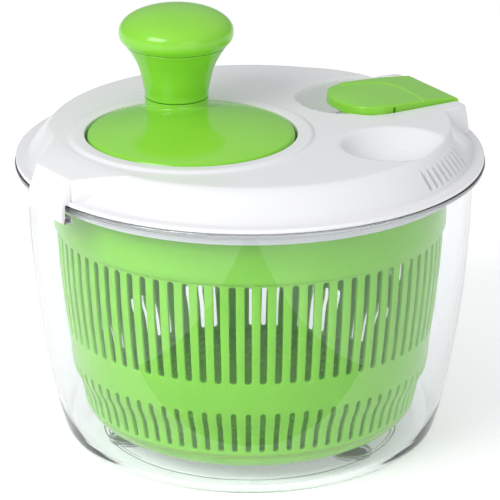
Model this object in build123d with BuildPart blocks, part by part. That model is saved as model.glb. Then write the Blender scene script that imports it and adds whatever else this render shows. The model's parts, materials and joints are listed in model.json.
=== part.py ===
from build123d import *
from math import cos, pi, radians, sin, tan
import os

# Hand-driven salad spinner: a clear bowl, a slotted basket, and a lid whose knob turns a geared disc.
# Millimetres, +Z up. The origin is on the table under the middle of the bowl.
# +X points to the latch and -X to the fixed hook.

# ---------------------------------------------------------------- driving dimensions
RIM_R = 125.0                 # outer radius of the bowl's flange
RIM_TOP = 157.0               # top of the flange, where the lid rests
RIM_T = 3.0                   # thickness of the flange
BOWL_WALL = 2.6
BOWL_UNDER = 1.6              # underside of the bowl floor above the table
BOWL_FLOOR = BOWL_UNDER + BOWL_WALL
BOWL_FOOT_R = 99.8            # outer wall, carried down to the underside
BOWL_MID_R = 114.15           # outer wall half way up
BOWL_NECK_R = 118.6           # outer wall under the flange

PAD_R = 8.75
PAD_PITCH_R = 70.0
PAD_TOP = 2.8
PAD_ANGLES = (50, 170, 290)
PAD_COLLAR = 2.2              # width of the raised collar round each pad
FOOT_RING = (77.8, 79.6)      # inner and outer radius of the ring under the bowl
FOOT_RING_BOTTOM = 0.8

PIVOT_R = 3.2
PIVOT_SHOULDER = 9.0
PIVOT_TOP = 20.0
RUNNING = 0.05                # radial clearance of every turning fit
PRESS = 0.02                  # radial clearance of a pressed-in axle

BASKET_WALL = 2.2
BASKET_TOP = 151.0
BASKET_FLOOR = 20.0
BASKET_SLOTS = 80
UPPER_SLOT = (65.7, 121.0, 3.6)     # bottom, top, width
LOWER_SLOT = (24.0, 48.5, 2.8)
FLOOR_RINGS = (41, 49, 58, 68, 78)  # radii of the rings of floor slots
FLOOR_SLOTS = 24

LID_TOP = 174.7               # flat top of the lid
LID_WALL = 2.2
PLATEAU_R = 106.5
SLOPE_FOOT_R = 118.5
LID_FLANGE_R = 124.4
LID_FLANGE_TOP = 159.4
SKIRT_OUT_R = 114.8
SKIRT_IN_R = 112.6
SKIRT_BOTTOM = 148.0

DISC_X = -36.0                # axis of the turning disc
DISC_R = 54.7
DISC_TOP = 182.0              # crown of the dome
DISC_EDGE = 176.0             # top of the dome's edge
DISC_BOTTOM = 168.2
DISC_WALL = 2.4
WELL_R = 56.0
WELL_FLOOR = 165.5
RING_OUT_R = 64.5             # raised ring round the well
RING_TOP = 176.0

GEAR_MODULE = 1.5
RING_TEETH = 64
PINION_TEETH = 16             # centre distance 1.5 * (64 - 16) / 2 = 36
TEETH_BOTTOM = 166.2
TEETH_TOP = 170.8
WEB_TOP = 172.8
BUSH_BOTTOM = 161.0
BUSH_TOP = 165.8
POST_R = 6.0
POST_BOTTOM = 160.7
SHAFT_R = 5.0

KNOB_OFFSET = 37.0            # knob axis from the disc axis
KNOB_ANGLE = 72.0
KNOB_X = DISC_X + KNOB_OFFSET * cos(radians(KNOB_ANGLE))
KNOB_Y = KNOB_OFFSET * sin(radians(KNOB_ANGLE))
BOSS_R = 17.3
BOSS_TOP = 184.2
AXLE_R = 4.0
AXLE_BOTTOM = 176.5
AXLE_TOP = 214.2
CAP_R = 30.7
CAP_TOP = 233.5

COVER_BOTTOM = 154.0
COVER_TOP = 155.8
PLATE_BOTTOM = 146.0
PLATE_TOP = 148.4
PLATE_R = 101.0
LUG_R = 104.6

OUTER_X = 127.6               # outer faces of the hook and of the latch claw
CLAW_IN = 125.4               # their inner faces, just outside the flange
LEVER_END = 118.4             # the lever's full width ends here
LATCH_W = 48.0
LATCH_GAP = 0.6
POCKET_FLOOR = 161.5
LATCH_PIN = (113.5, 168.5)    # X and Z of the hinge pin
PIN_R = 1.5
PIN_HALF = 28.0
NOSE_TOP_X = 116.8            # the lid bulges out to here round the latch
NOSE_FOOT_X = 121.2
NOSE_HALF = 31.0

CLAW_HALF = 12.0              # the claw is narrower than the lever

HOOK_TURN = 3.5               # the hook sits this many degrees off the latch's line
HOOK_HALF = 16.5
HOOK_EDGE = (121.8, 171.0)    # its outer top edge
HOOK_BOTTOM = 148.0
HOOK_LIP_X = 121.5            # how far the lip reaches in under the flange
HOOK_LIP_TOP = 151.2

VENTS = 9
VENT_FIRST = -68.1            # angle of the first vent slot
VENT_STEP = 2.75
VENT_SIZE = (8.8, 1.9, 13.2)

SCOOP_AT = (44.5, -64.0)
SCOOP_R = 27.0
SCOOP_DEPTH = 12.0
SCOOP_BALL = (SCOOP_R**2 + SCOOP_DEPTH**2) / (2 * SCOOP_DEPTH)

os.makedirs("parts", exist_ok=True)


def save(piece, name):
    """Label a finished piece and write it as its own STEP file."""
    piece.part.label = name
    export_step(piece.part, f"parts/{name}.step")


def turned(points, x=0.0, y=0.0, mode=Mode.ADD):
    """Revolve a closed outline of (radius, height) points about the vertical line through x, y."""
    with BuildSketch(Plane.XZ.offset(-y)) as section:
        with BuildLine():
            Polyline([(x + r, z) for r, z in points], close=True)
        make_face()
    revolve(section.sketch, Axis((x, y, 0), (0, 0, 1)), 360, mode=mode)


def post(radius, bottom, top, x=0.0, y=0.0, mode=Mode.ADD):
    """An upright cylinder between two heights."""
    with BuildSketch(Plane.XY.offset(bottom)) as disc:
        with Locations((x, y)):
            Circle(radius)
    extrude(disc.sketch, top - bottom, mode=mode)


def tube(outer, inner, bottom, top, x=0.0, y=0.0):
    """A plain bush or washer."""
    with BuildSketch(Plane.XY.offset(bottom)) as ring:
        with Locations((x, y)):
            Circle(outer)
            Circle(inner, mode=Mode.SUBTRACT)
    extrude(ring.sketch, top - bottom)


def screw(head_r, shank_r, head_bottom, head_top, tip, x=0.0, y=0.0):
    """A screw that points up: cylinder head with a cross recess, shank to its tip."""
    post(head_r, head_bottom, head_top, x, y)
    post(shank_r, head_top, tip, x, y)
    with BuildSketch(Plane.XY.offset(head_bottom)) as recess:
        with Locations((x, y)):
            Rectangle(head_r * 1.2, head_r * 0.3)
            Rectangle(head_r * 0.3, head_r * 1.2)
    extrude(recess.sketch, (head_top - head_bottom) * 0.5, mode=Mode.SUBTRACT)


# ---------------------------------------------------------------- bowl
def bowl_body(inset, corner_r, top, mode=Mode.ADD):
    """The bowl's outer form, or with an inset its inside."""
    floor = BOWL_UNDER + inset
    with BuildSketch(Plane.XZ) as section:
        with BuildLine():
            wall = ThreePointArc(
                (BOWL_FOOT_R - inset * 0.77, floor),
                (BOWL_MID_R - inset, (BOWL_UNDER + RIM_TOP - RIM_T) / 2),
                (BOWL_NECK_R - inset, top),
            )
            Line(wall @ 1, (0, top))
            Line((0, top), (0, floor))
            Line((0, floor), wall @ 0)
        make_face()
        corner = section.vertices().group_by(Axis.Y)[0].sort_by(Axis.X)[-1]
        fillet(corner, corner_r)
    revolve(section.sketch, Axis.Z, 360, mode=mode)


PADS = [(PAD_PITCH_R * cos(radians(a)), PAD_PITCH_R * sin(radians(a))) for a in PAD_ANGLES]

with BuildPart() as bowl:
    bowl_body(0, 12, RIM_TOP)
    with BuildSketch(Plane.XY.offset(RIM_TOP - RIM_T)):
        Circle(RIM_R)
    extrude(amount=RIM_T)
    fillet(bowl.edges().filter_by(GeomType.CIRCLE).filter_by(lambda e: e.radius == RIM_R), 1.1)
    bowl_body(BOWL_WALL, 10, RIM_TOP, mode=Mode.SUBTRACT)
    with BuildSketch(Plane.XY.offset(FOOT_RING_BOTTOM)):
        Circle(FOOT_RING[1])
        Circle(FOOT_RING[0], mode=Mode.SUBTRACT)
    extrude(amount=BOWL_UNDER - FOOT_RING_BOTTOM + 0.4)
    for pad_x, pad_y in PADS:
        post(PAD_R + PAD_COLLAR, BOWL_FLOOR - 0.5, BOWL_FLOOR + 1.2, pad_x, pad_y)
        post(PAD_R + PAD_COLLAR, FOOT_RING_BOTTOM, BOWL_UNDER + 0.5, pad_x, pad_y)
        post(PAD_R + 0.1, 0, PAD_TOP, pad_x, pad_y, mode=Mode.SUBTRACT)
    turned([(0, BOWL_FLOOR - 1), (9.5, BOWL_FLOOR - 1), (6.5, PIVOT_SHOULDER), (PIVOT_R, PIVOT_SHOULDER),
            (PIVOT_R, PIVOT_TOP - 1.2), (PIVOT_R - 1.2, PIVOT_TOP), (0, PIVOT_TOP)])
save(bowl, "bowl")

for number, (pad_x, pad_y) in enumerate(PADS, 1):
    with BuildPart() as foot_pad:
        post(PAD_R, 0, PAD_TOP, pad_x, pad_y)
        fillet(foot_pad.edges().group_by(Axis.Z)[0], 0.7)
    save(foot_pad, f"foot_pad_{number}")

# ---------------------------------------------------------------- basket and its bearing
BASKET_OUTSIDE = [
    (76.0, 8.8), (83.0, 10.2), (87.2, 15.5), (89.2, 21.0), (92.6, 36.0),
    (96.3, 41.0), (97.6, 57.5), (100.6, 81.0), (102.7, 103.0), (103.5, 120.8), (105.1, 121.6),
]
HUB_R = 13.0
BEARING_R = 8.0
HUB_BOTTOM = 11.4

with BuildPart() as basket:
    inside = [(r - BASKET_WALL, z) for r, z in BASKET_OUTSIDE if z > BASKET_FLOOR]
    turned(
        BASKET_OUTSIDE
        + [(105.3, BASKET_TOP), (103.3, BASKET_TOP)]
        + list(reversed(inside))
        + [(86.6, BASKET_FLOOR), (0, BASKET_FLOOR), (0, BASKET_FLOOR - 2.4), (85.6, BASKET_FLOOR - 2.4),
           (84.9, 15.9), (81.9, 12.2), (76.0, 11.0)]
    )
    post(HUB_R, HUB_BOTTOM, BASKET_FLOOR + 6.0)
    fillet(basket.edges().filter_by(GeomType.CIRCLE).group_by(Axis.Z)[-1].sort_by(SortBy.RADIUS)[-1], 0.6)
    post(BEARING_R, HUB_BOTTOM, BASKET_FLOOR + 2.4, mode=Mode.SUBTRACT)
    for bottom, top, width in (UPPER_SLOT, LOWER_SLOT):
        with Locations((0, 0, (bottom + top) / 2)):
            with PolarLocations(98.0, BASKET_SLOTS):
                Box(26.0, width, top - bottom, mode=Mode.SUBTRACT)
    for ring_r in FLOOR_RINGS:
        arc_length = 2 * pi * ring_r / FLOOR_SLOTS - 4.2
        with Locations((0, 0, BASKET_FLOOR - 1.2)):
            with PolarLocations(ring_r, FLOOR_SLOTS):
                Box(2.8, arc_length, 4.0, mode=Mode.SUBTRACT)
    with Locations((0, 0, BASKET_TOP)):
        with PolarLocations(105.0, 3, start_angle=60):
            Box(8.0, 13.0, 11.0, mode=Mode.SUBTRACT)
save(basket, "basket")

with BuildPart() as basket_bearing:
    tube(BEARING_R, PIVOT_R + RUNNING, PIVOT_SHOULDER, BASKET_FLOOR + 0.5)
    tube(HUB_R - 1.5, BEARING_R - 0.5, PIVOT_SHOULDER, HUB_BOTTOM)
    post(BEARING_R, BASKET_FLOOR + 0.4, BASKET_FLOOR + 2.4)
save(basket_bearing, "basket_bearing")

# ---------------------------------------------------------------- lid shell
COVER_POSTS = [(92 * cos(radians(a)), 92 * sin(radians(a))) for a in (50, 130, 220, 265)]
POCKET_HALF = LATCH_W / 2 + LATCH_GAP
POCKET_START = 56.0
POCKET_END = 119.6            # outer wall of the pocket


def pocket_plan(grow):
    """Plan of the latch pocket: straight sides, a way out for the claw, and a scoop under the tongue."""
    with Locations(((POCKET_START + POCKET_END + grow) / 2, 0)):
        Rectangle(POCKET_END + grow - POCKET_START, 2 * (POCKET_HALF + grow))
    with Locations((POCKET_END, 0)):
        Rectangle(30, 2 * (CLAW_HALF + LATCH_GAP + grow))
    with Locations((62, 4)):
        Ellipse(20 + grow, 27 + grow)


with BuildPart() as lid_hollow:
    turned([(0, SKIRT_BOTTOM - 1), (SKIRT_IN_R, SKIRT_BOTTOM - 1), (SKIRT_IN_R, 163.4), (105.4, LID_TOP - LID_WALL),
            (0, LID_TOP - LID_WALL)])
    post(WELL_R + LID_WALL, WELL_FLOOR - LID_WALL, LID_TOP, DISC_X, mode=Mode.SUBTRACT)
    post(12.5, BUSH_BOTTOM, LID_TOP, DISC_X, mode=Mode.SUBTRACT)
    post(10.5, BUSH_BOTTOM, LID_TOP, mode=Mode.SUBTRACT)
    for post_x, post_y in COVER_POSTS:
        post(4.0, COVER_TOP, LID_TOP, post_x, post_y, mode=Mode.SUBTRACT)
    with Locations((*SCOOP_AT, LID_TOP - SCOOP_DEPTH + SCOOP_BALL)):
        Sphere(SCOOP_BALL + LID_WALL, mode=Mode.SUBTRACT)
    with BuildSketch(Plane.XY.offset(POCKET_FLOOR - LID_WALL)) as pocket_outline:
        pocket_plan(LID_WALL)
    extrude(pocket_outline.sketch, LID_TOP - POCKET_FLOOR + LID_WALL, mode=Mode.SUBTRACT)

with BuildPart() as lid_shell:
    turned([(0, RIM_TOP), (0, LID_TOP), (PLATEAU_R, LID_TOP), (SLOPE_FOOT_R, LID_FLANGE_TOP),
            (LID_FLANGE_R, LID_FLANGE_TOP), (LID_FLANGE_R, RIM_TOP)])
    turned([(0, SKIRT_BOTTOM), (SKIRT_OUT_R, SKIRT_BOTTOM), (SKIRT_OUT_R, RIM_TOP), (0, RIM_TOP)])
    # nose that carries the latch
    with BuildSketch(Plane.XZ) as nose:
        with BuildLine():
            Polyline([(80, LID_TOP), (NOSE_TOP_X, LID_TOP), (NOSE_FOOT_X, LID_FLANGE_TOP), (80, LID_FLANGE_TOP)],
                     close=True)
        make_face()
    extrude(nose.sketch, NOSE_HALF, both=True)
    post(RING_OUT_R, LID_TOP - 1, RING_TOP, DISC_X)
    add(lid_hollow.part, mode=Mode.SUBTRACT)
    # fixed hook: a block that slopes down from the plateau and wraps round the flange
    with BuildSketch(Plane.XZ.rotated((0, 0, HOOK_TURN))) as hook:
        with BuildLine():
            Polyline([(-100, LID_TOP - 0.6), (-HOOK_EDGE[0], HOOK_EDGE[1]), (-OUTER_X, 157.5), (-OUTER_X, HOOK_BOTTOM),
                      (-HOOK_LIP_X, HOOK_BOTTOM), (-HOOK_LIP_X, HOOK_LIP_TOP), (-CLAW_IN, HOOK_LIP_TOP),
                      (-CLAW_IN, 158.2), (-113, 158.2), (-100, LID_TOP - 3)], close=True)
        make_face()
    extrude(hook.sketch, HOOK_HALF, both=True)
    # well of the turning disc, bores of the two bushes
    post(WELL_R, WELL_FLOOR, RING_TOP + 1, DISC_X, mode=Mode.SUBTRACT)
    post(9.0, BUSH_BOTTOM - 1, BUSH_TOP, DISC_X, mode=Mode.SUBTRACT)
    post(7.0, BUSH_BOTTOM - 1, BUSH_TOP, mode=Mode.SUBTRACT)
    for post_x, post_y in COVER_POSTS:
        post(1.4, COVER_TOP - 1, 165.0, post_x, post_y, mode=Mode.SUBTRACT)
    # finger scoop
    with Locations((*SCOOP_AT, LID_TOP - SCOOP_DEPTH + SCOOP_BALL)):
        Sphere(SCOOP_BALL, mode=Mode.SUBTRACT)
    # latch pocket, open outwards, and the pin's bore
    with BuildSketch(Plane.XY.offset(POCKET_FLOOR)) as pocket:
        pocket_plan(0)
    extrude(pocket.sketch, 20, mode=Mode.SUBTRACT)
    with BuildSketch(Plane.XZ) as pin_bore:
        with Locations(LATCH_PIN):
            Circle(PIN_R)
    extrude(pin_bore.sketch, PIN_HALF, both=True, mode=Mode.SUBTRACT)
    # vent slots in the slope
    for step in range(VENTS):
        with Locations(Rotation(0, 0, VENT_FIRST + VENT_STEP * step)):
            with Locations((113.4, 0, 167.0)):
                Box(*VENT_SIZE, mode=Mode.SUBTRACT)
save(lid_shell, "lid_shell")

with BuildPart() as inner_cover:
    post(104.0, COVER_BOTTOM, COVER_TOP)
    post(12.0, COVER_BOTTOM, COVER_TOP, mode=Mode.SUBTRACT)
    for post_x, post_y in COVER_POSTS:
        post(1.4, COVER_BOTTOM, COVER_TOP, post_x, post_y, mode=Mode.SUBTRACT)
save(inner_cover, "inner_cover")

with BuildPart() as cover_screws:
    for post_x, post_y in COVER_POSTS:
        screw(3.2, 1.4, COVER_BOTTOM - 1.6, COVER_BOTTOM, 164.0, post_x, post_y)
save(cover_screws, "cover_screws")

with BuildPart() as turntable_bush:
    tube(9.0, POST_R + RUNNING, BUSH_BOTTOM, BUSH_TOP, DISC_X)
save(turntable_bush, "turntable_bush")

with BuildPart() as pinion_bush:
    tube(7.0, SHAFT_R + RUNNING, BUSH_BOTTOM, BUSH_TOP)
save(pinion_bush, "pinion_bush")

# ---------------------------------------------------------------- latch
with BuildPart() as latch_pin:
    with BuildSketch(Plane.XZ) as pin_end:
        with Locations(LATCH_PIN):
            Circle(PIN_R)
    extrude(pin_end.sketch, PIN_HALF, both=True)
save(latch_pin, "latch_pin")

with BuildPart() as latch_lever:
    with BuildSketch(Plane.XZ) as lever_side:
        with BuildLine():
            Polyline([(54.5, 177.2), (57, 178.8), (74, 179.2), (104, 177.4), (117.4, 175.8), (LEVER_END, 174.6),
                      (124.8, 164.5), (OUTER_X, 157.5), (OUTER_X, 152.0), (CLAW_IN, 152.0), (CLAW_IN, 160.4),
                      (119.5, 164.6), (110, 164.6), (106, 169.5), (98, 172.0), (76, 171.6), (60, 172.4),
                      (54.5, 174.2)], close=True)
        make_face()
    extrude(lever_side.sketch, LATCH_W / 2, both=True)
    with BuildSketch(Plane.XY.offset(145)) as lever_plan:
        with Locations(((78.5 + LEVER_END) / 2, 0)):
            Rectangle(LEVER_END - 78.5, LATCH_W)
        with Locations((LEVER_END, 0)):
            Rectangle(30, 2 * CLAW_HALF)
        Polygon((54.5, -8), (54.5, 8), (58, 16), (64, 21), (72, 24), (79, 24), (79, -24), (72, -24), (64, -21),
                (58, -16), align=None)
    extrude(lever_plan.sketch, 40, mode=Mode.INTERSECT)
    with BuildSketch(Plane.XZ) as lever_bore:
        with Locations(LATCH_PIN):
            Circle(PIN_R + RUNNING)
    extrude(lever_bore.sketch, LATCH_W, both=True, mode=Mode.SUBTRACT)
save(latch_lever, "latch_lever")

with BuildPart() as latch_spring:
    with BuildSketch(Plane.XZ) as leaf:
        with BuildLine():
            Polyline([(80, POCKET_FLOOR), (92, POCKET_FLOOR), (101, 170.0), (101, 170.6), (91.6, POCKET_FLOOR + 0.5),
                      (80, POCKET_FLOOR + 0.5)], close=True)
        make_face()
    extrude(leaf.sketch, 5, both=True)
save(latch_spring, "latch_spring")


# ---------------------------------------------------------------- turning disc and gears
def dome(radius, crown, edge, x, bottom, mode=Mode.ADD):
    """A disc with a shallow domed top."""
    with BuildSketch(Plane.XZ) as section:
        with BuildLine():
            crown_arc = ThreePointArc((x, crown), (x + radius * 0.5, crown - (crown - edge) * 0.25), (x + radius, edge))
            Line(crown_arc @ 1, (x + radius, bottom))
            Line((x + radius, bottom), (x, bottom))
            Line((x, bottom), (x, crown))
        make_face()
    revolve(section.sketch, Axis((x, 0, 0), (0, 0, 1)), 360, mode=mode)


GEAR_SCREWS = [(DISC_X + 14 * cos(radians(a)), 14 * sin(radians(a))) for a in (45, 135, 225, 315)]

with BuildPart() as turntable:
    dome(DISC_R, DISC_TOP, DISC_EDGE, DISC_X, DISC_BOTTOM)
    rim_edges = turntable.edges().filter_by(GeomType.CIRCLE).filter_by(lambda e: abs(e.radius - DISC_R) < 0.01)
    fillet(rim_edges.sort_by(Axis.Z)[-1], 1.8)
    dome(DISC_R - DISC_WALL, DISC_TOP - DISC_WALL, DISC_EDGE - DISC_WALL, DISC_X, DISC_BOTTOM, mode=Mode.SUBTRACT)
    post(BOSS_R, 175.5, BOSS_TOP, KNOB_X, KNOB_Y)
    post(8.5, BUSH_TOP + 0.2, DISC_TOP - 1.2, DISC_X)
    post(POST_R, POST_BOTTOM, BUSH_TOP + 0.5, DISC_X)
    for screw_x, screw_y in GEAR_SCREWS:
        post(3.2, WEB_TOP, DISC_TOP - 1.5, screw_x, screw_y)
        post(1.2, WEB_TOP, 178.0, screw_x, screw_y, mode=Mode.SUBTRACT)
    post(2.0, POST_BOTTOM, 172.0, DISC_X, mode=Mode.SUBTRACT)
    post(AXLE_R + PRESS, AXLE_BOTTOM, BOSS_TOP, KNOB_X, KNOB_Y, mode=Mode.SUBTRACT)
save(turntable, "turntable")


def gear_outline(teeth, tip_r, root_r, space_at_pitch, x):
    """Straight-sided tooth outline: teeth as points on the tip and root circles."""
    pitch = 2 * pi / teeth
    pitch_r = GEAR_MODULE * teeth / 2
    points = []
    for tooth in range(teeth):
        middle = tooth * pitch
        for radius, half in ((root_r, pitch * 0.5 - space_at_pitch(root_r, pitch_r)),
                             (tip_r, pitch * 0.5 - space_at_pitch(tip_r, pitch_r))):
            points.append((middle - half, radius))
        for radius, half in ((tip_r, pitch * 0.5 - space_at_pitch(tip_r, pitch_r)),
                             (root_r, pitch * 0.5 - space_at_pitch(root_r, pitch_r))):
            points.append((middle + half, radius))
    return [(x + radius * cos(a), radius * sin(a)) for a, radius in points]


PRESSURE = tan(radians(20))
BACKLASH = 0.18


def pinion_space(radius, pitch_r):
    """Half the angle of the space between pinion teeth at a radius."""
    half_width = GEAR_MODULE * pi / 4 + BACKLASH + (radius - pitch_r) * PRESSURE
    return half_width / radius


def ring_space(radius, pitch_r):
    """Half the angle of the solid tooth of the internal ring at a radius."""
    half_width = GEAR_MODULE * pi / 4 - BACKLASH + (radius - pitch_r) * PRESSURE
    return half_width / radius


with BuildPart() as ring_gear:
    tube(51.9, 49.6, TEETH_BOTTOM, TEETH_TOP, DISC_X)
    tube(51.9, 8.6, TEETH_TOP, WEB_TOP, DISC_X)
    with BuildSketch(Plane.XY.offset(TEETH_BOTTOM)) as ring_teeth:
        with Locations((DISC_X, 0)):
            Circle(50.2)
        with BuildLine():
            Polyline(gear_outline(RING_TEETH, 49.9, 46.6, ring_space, DISC_X), close=True)
        make_face(mode=Mode.SUBTRACT)
    extrude(ring_teeth.sketch, TEETH_TOP - TEETH_BOTTOM)
    for screw_x, screw_y in GEAR_SCREWS:
        post(1.2, TEETH_TOP - 1, WEB_TOP + 1, screw_x, screw_y, mode=Mode.SUBTRACT)
save(ring_gear, "ring_gear")

with BuildPart() as ring_gear_screws:
    for screw_x, screw_y in GEAR_SCREWS:
        screw(2.6, 1.2, TEETH_TOP - 1.6, TEETH_TOP, 177.5, screw_x, screw_y)
save(ring_gear_screws, "ring_gear_screws")

with BuildPart() as turntable_washer:
    tube(10.0, 2.0, 159.4, POST_BOTTOM, DISC_X)
save(turntable_washer, "turntable_washer")

with BuildPart() as turntable_screw:
    screw(4.5, 2.0, 157.2, 159.4, 171.0, DISC_X)
save(turntable_screw, "turntable_screw")

with BuildPart() as drive_pinion:
    with BuildSketch(Plane.XY.offset(BUSH_TOP + 0.2)) as pinion_teeth:
        with BuildLine():
            Polyline(gear_outline(PINION_TEETH, 13.3, 10.2, pinion_space, 0), close=True)
        make_face()
    extrude(pinion_teeth.sketch, 4.4)
    post(SHAFT_R, PLATE_TOP - 0.2, BUSH_TOP + 0.5)
    post(1.6, PLATE_TOP - 0.2, 157.0, mode=Mode.SUBTRACT)
save(drive_pinion, "drive_pinion")

with BuildPart() as driver_plate:
    post(PLATE_R, PLATE_BOTTOM, PLATE_TOP)
    post(9.5, PLATE_BOTTOM, 158.5)
    with Locations((0, 0, (PLATE_BOTTOM + PLATE_TOP) / 2)):
        with PolarLocations(LUG_R - 8.0, 3, start_angle=60):
            Box(16.0, 10.0, PLATE_TOP - PLATE_BOTTOM)
    with BuildSketch(Plane.XY.offset(PLATE_BOTTOM)) as windows:
        with PolarLocations(58.0, 12):
            SlotOverall(58.0, 15.0)
    extrude(windows.sketch, PLATE_TOP - PLATE_BOTTOM, mode=Mode.SUBTRACT)
    post(SHAFT_R, PLATE_TOP - 0.2, 158.5, mode=Mode.SUBTRACT)
    post(1.6, PLATE_BOTTOM, PLATE_TOP, mode=Mode.SUBTRACT)
save(driver_plate, "driver_plate")

with BuildPart() as driver_screw:
    screw(4.5, 1.6, PLATE_BOTTOM - 2.2, PLATE_BOTTOM, 156.0)
save(driver_screw, "driver_screw")

# ---------------------------------------------------------------- knob
STEM_OUTSIDE = [(17.1, 184.6), (17.3, 188.0), (18.3, 192.8), (19.4, 198.0), (21.2, 203.2), (24.2, 208.6), (27.4, 213.4)]

with BuildPart() as knob_axle:
    post(AXLE_R, AXLE_BOTTOM, AXLE_TOP, KNOB_X, KNOB_Y)
    post(1.6, 200.0, AXLE_TOP, KNOB_X, KNOB_Y, mode=Mode.SUBTRACT)
save(knob_axle, "knob_axle")

with BuildPart() as knob_stem:
    stem_inside = [(r - 2.2, z) for r, z in reversed(STEM_OUTSIDE)]
    turned(STEM_OUTSIDE + stem_inside, KNOB_X, KNOB_Y)
    tube(9.4, 7.0, 186.0, 213.4, KNOB_X, KNOB_Y)
    tube(16.5, 9.0, 192.0, 194.4, KNOB_X, KNOB_Y)
save(knob_stem, "knob_stem")

with BuildPart() as knob_bush:
    tube(7.0, AXLE_R + RUNNING, 186.0, AXLE_TOP - 0.3, KNOB_X, KNOB_Y)
save(knob_bush, "knob_bush")

with BuildPart() as knob_washer:
    tube(8.0, 1.6, AXLE_TOP, AXLE_TOP + 1.0, KNOB_X, KNOB_Y)
save(knob_washer, "knob_washer")

with BuildPart() as knob_screw:
    post(3.6, AXLE_TOP + 1.0, AXLE_TOP + 3.2, KNOB_X, KNOB_Y)
    post(1.6, 201.0, AXLE_TOP + 1.0, KNOB_X, KNOB_Y)
save(knob_screw, "knob_screw")

with BuildPart() as knob_cap:
    with BuildSketch(Plane.XZ.offset(-KNOB_Y)) as cap_section:
        with BuildLine():
            cheek = Line((KNOB_X + CAP_R, 217.4), (KNOB_X + CAP_R, 220.6))
            shoulder = Spline(
                cheek @ 1, (KNOB_X + 23.5, 229.0), (KNOB_X, CAP_TOP), tangents=[(0, 1), (-1, 0)]
            )
            Line(shoulder @ 1, (KNOB_X, CAP_TOP - 2.6))
            lining = Spline(
                (KNOB_X, CAP_TOP - 2.6), (KNOB_X + 21.5, 227.0), (KNOB_X + CAP_R - 2.6, 220.0),
                tangents=[(1, 0), (0, -1)],
            )
            Polyline(lining @ 1, (KNOB_X + CAP_R - 2.6, 217.0), (KNOB_X + 22.5, 215.8), (KNOB_X + 22.5, 213.4),
                     (KNOB_X + 27.6, 213.4), cheek @ 0)
        make_face()
    revolve(cap_section.sketch, Axis((KNOB_X, KNOB_Y, 0), (0, 0, 1)), 360)
save(knob_cap, "knob_cap")
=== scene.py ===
import bpy
import bmesh
import json
import math
from math import cos, pi, radians, sin, sqrt
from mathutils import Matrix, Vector


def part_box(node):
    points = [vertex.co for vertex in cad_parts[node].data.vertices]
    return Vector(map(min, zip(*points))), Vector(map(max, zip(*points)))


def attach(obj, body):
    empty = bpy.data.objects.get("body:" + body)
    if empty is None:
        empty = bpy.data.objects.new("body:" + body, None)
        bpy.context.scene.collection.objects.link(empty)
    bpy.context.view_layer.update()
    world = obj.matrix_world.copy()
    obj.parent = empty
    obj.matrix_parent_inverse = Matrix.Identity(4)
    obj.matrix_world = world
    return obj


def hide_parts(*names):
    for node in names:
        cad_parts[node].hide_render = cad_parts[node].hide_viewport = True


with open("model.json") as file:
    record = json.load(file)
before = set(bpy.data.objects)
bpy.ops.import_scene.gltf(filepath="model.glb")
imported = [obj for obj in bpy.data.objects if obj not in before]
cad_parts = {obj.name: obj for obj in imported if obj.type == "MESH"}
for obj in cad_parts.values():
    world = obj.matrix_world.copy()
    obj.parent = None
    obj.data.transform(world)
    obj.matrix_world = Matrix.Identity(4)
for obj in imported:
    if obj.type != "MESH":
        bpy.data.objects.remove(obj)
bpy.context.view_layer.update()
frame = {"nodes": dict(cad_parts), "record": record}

# Geometry below is worked out in millimetres and becomes metres in make_mesh.
MM = 0.001


def corner_mm(node):
    """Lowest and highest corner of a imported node, in millimetres."""
    low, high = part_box(node)
    return [v / MM for v in low], [v / MM for v in high]


bowl_high = corner_mm("bowl")[1]
basket_high = corner_mm("basket")[1]
lid_low, lid_high = corner_mm("lid_shell")
disc_low, disc_high = corner_mm("turntable")
cap_low, cap_high = corner_mm("knob_cap")
stem_low, stem_high = corner_mm("knob_stem")
latch_low, latch_high = corner_mm("latch_lever")
pad_low, pad_high = corner_mm("foot_pad_1")

RIM_R = bowl_high[0]
RIM_TOP = bowl_high[2]
BASKET_TOP = basket_high[2]
DISC_X = (disc_low[0] + disc_high[0]) / 2
DISC_R = (disc_high[0] - disc_low[0]) / 2
BOSS_TOP = disc_high[2]
KNOB_X = (cap_low[0] + cap_high[0]) / 2
KNOB_Y = (cap_low[1] + cap_high[1]) / 2
CAP_R = (cap_high[0] - cap_low[0]) / 2
PAD_R = (pad_high[0] - pad_low[0]) / 2
RING_TOP = lid_high[2]              # crest of the raised ring round the disc
LID_TOP = RING_TOP - 1.3            # flat of the lid
FLANGE_TOP = RIM_TOP + 2.4
FLANGE_R = lid_high[1]


# ---------------------------------------------------------------- mesh helpers
def make_mesh(name, points, faces, sharp=40.0):
    """A mesh object from points in millimetres, smooth except across sharp edges."""
    mesh = bpy.data.meshes.new(name)
    mesh.from_pydata([(x * MM, y * MM, z * MM) for x, y, z in points], [], faces)
    mesh.validate()
    shape = bmesh.new()
    shape.from_mesh(mesh)
    bmesh.ops.remove_doubles(shape, verts=shape.verts, dist=1e-6)
    bmesh.ops.recalc_face_normals(shape, faces=shape.faces)
    shape.to_mesh(mesh)
    shape.free()
    obj = bpy.data.objects.new(name, mesh)
    bpy.context.scene.collection.objects.link(obj)
    soften(obj, sharp)
    return obj


def soften(obj, sharp):
    """Smooth shading, with edges over an angle in degrees kept crisp."""
    for face in obj.data.polygons:
        face.use_smooth = True
    obj.data.set_sharp_from_angle(angle=radians(sharp))


def grid_faces(rows, columns, closed_rows=False):
    """Quads between rows of points; columns run round, rows may close too."""
    faces = []
    for i in range(rows if closed_rows else rows - 1):
        here, there = i * columns, (i + 1) % rows * columns
        for j in range(columns):
            k = (j + 1) % columns
            faces.append((here + j, here + k, there + k, there + j))
    return faces


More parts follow.
